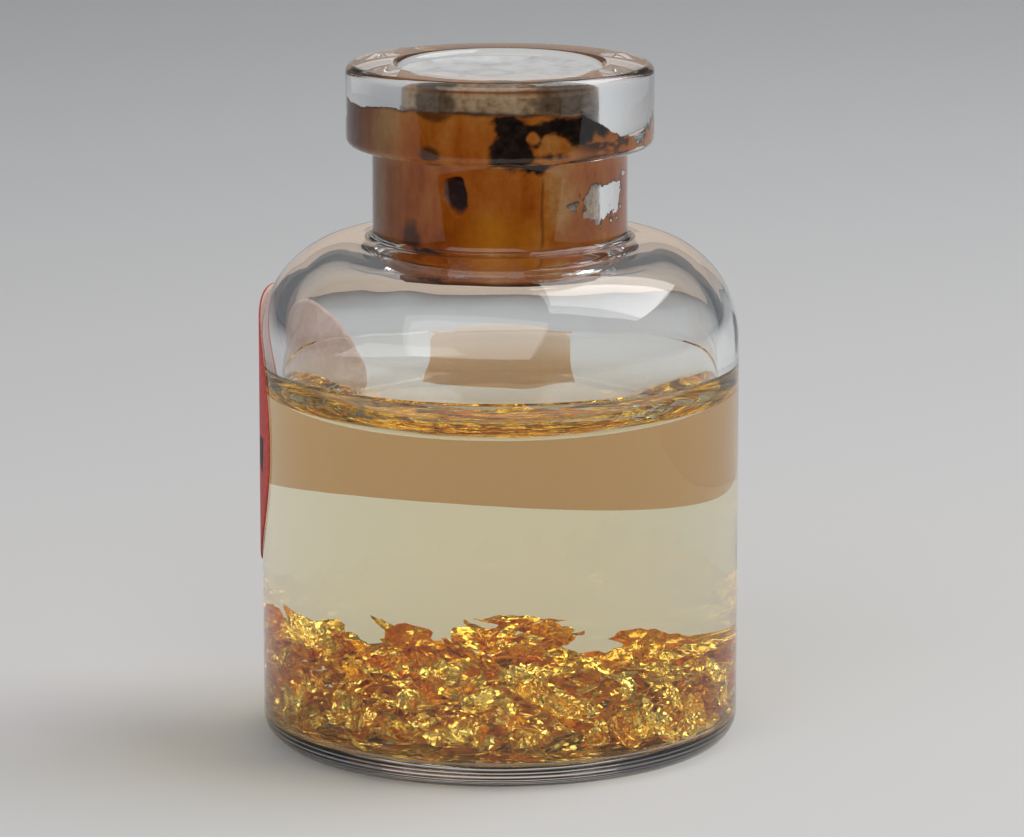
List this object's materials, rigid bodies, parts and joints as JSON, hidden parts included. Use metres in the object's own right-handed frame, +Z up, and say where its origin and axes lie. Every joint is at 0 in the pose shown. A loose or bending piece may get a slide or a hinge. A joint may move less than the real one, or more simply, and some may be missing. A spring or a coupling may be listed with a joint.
{
  "type": "gold sample vial",
  "caption": "Small round glass vial with a thick lip, closed by a sealed cork, holding crumpled gold leaf flakes under clear liquid, with a round paper sticker on its side.",
  "frame": {"origin": "centre of the base, on the surface that the vial stands on", "axes": "+Z up along the vial's axis; the sticker is on the -X side, turned a little towards +Y"},
  "size_m": [0.0221, 0.022, 0.0315],
  "materials": {
    "glass": "clear, glossy, slightly wavy",
    "cork": "cork stained amber brown and wetted to the glass",
    "seal": "thin whitish varnish or wax skin, satin",
    "sticker_paper": "printed red paper, matt, pale pink on its glued side",
    "liquid": "clear liquid with a faint straw tint",
    "gold": "crumpled bright gold leaf"
  },
  "bodies": {
    "vial": {"vial_glass": "glass", "paper_sticker": "sticker_paper"},
    "cork": {"cork_stopper": "cork", "seal_skin": "seal"},
    "contents": {"liquid": "liquid", "gold_flake_01": "gold", "gold_flake_02": "gold", "gold_flake_03": "gold", "gold_flake_04": "gold", "gold_flake_05": "gold", "gold_flake_06": "gold", "gold_flake_07": "gold", "gold_flake_08": "gold", "gold_flake_09": "gold", "gold_flake_10": "gold", "gold_flake_11": "gold", "gold_flake_12": "gold", "gold_flake_13": "gold", "gold_flake_14": "gold", "gold_flake_15": "gold", "gold_flake_16": "gold", "gold_flake_17": "gold", "gold_flake_18": "gold", "gold_flake_19": "gold", "gold_flake_20": "gold", "gold_flake_21": "gold", "gold_flake_22": "gold", "gold_flake_23": "gold", "gold_flake_24": "gold", "gold_flake_25": "gold", "gold_flake_26": "gold", "gold_flake_27": "gold", "gold_flake_28": "gold", "gold_flake_29": "gold", "gold_flake_30": "gold", "gold_flake_31": "gold", "gold_flake_32": "gold", "gold_flake_33": "gold", "gold_flake_34": "gold", "gold_flake_35": "gold", "gold_flake_36": "gold", "gold_flake_37": "gold", "gold_flake_38": "gold", "gold_flake_39": "gold", "gold_flake_40": "gold", "gold_flake_41": "gold", "gold_flake_42": "gold", "gold_flake_43": "gold", "gold_flake_44": "gold", "gold_flake_45": "gold", "gold_flake_46": "gold", "gold_flake_47": "gold", "buried_flakes_1": "gold", "buried_flakes_2": "gold", "buried_flakes_3": "gold"}
  },
  "joints": [
    {"name": "cork_pull", "type": "slide", "parent": "vial", "child": "cork", "axis": [0, 0, 1], "range_m": [0, 0.012]},
    {"name": "contents_swirl", "type": "hinge", "parent": "vial", "child": "contents", "pos_m": [0, 0, 0], "axis": [0, 0, 1], "continuous": true}
  ]
}
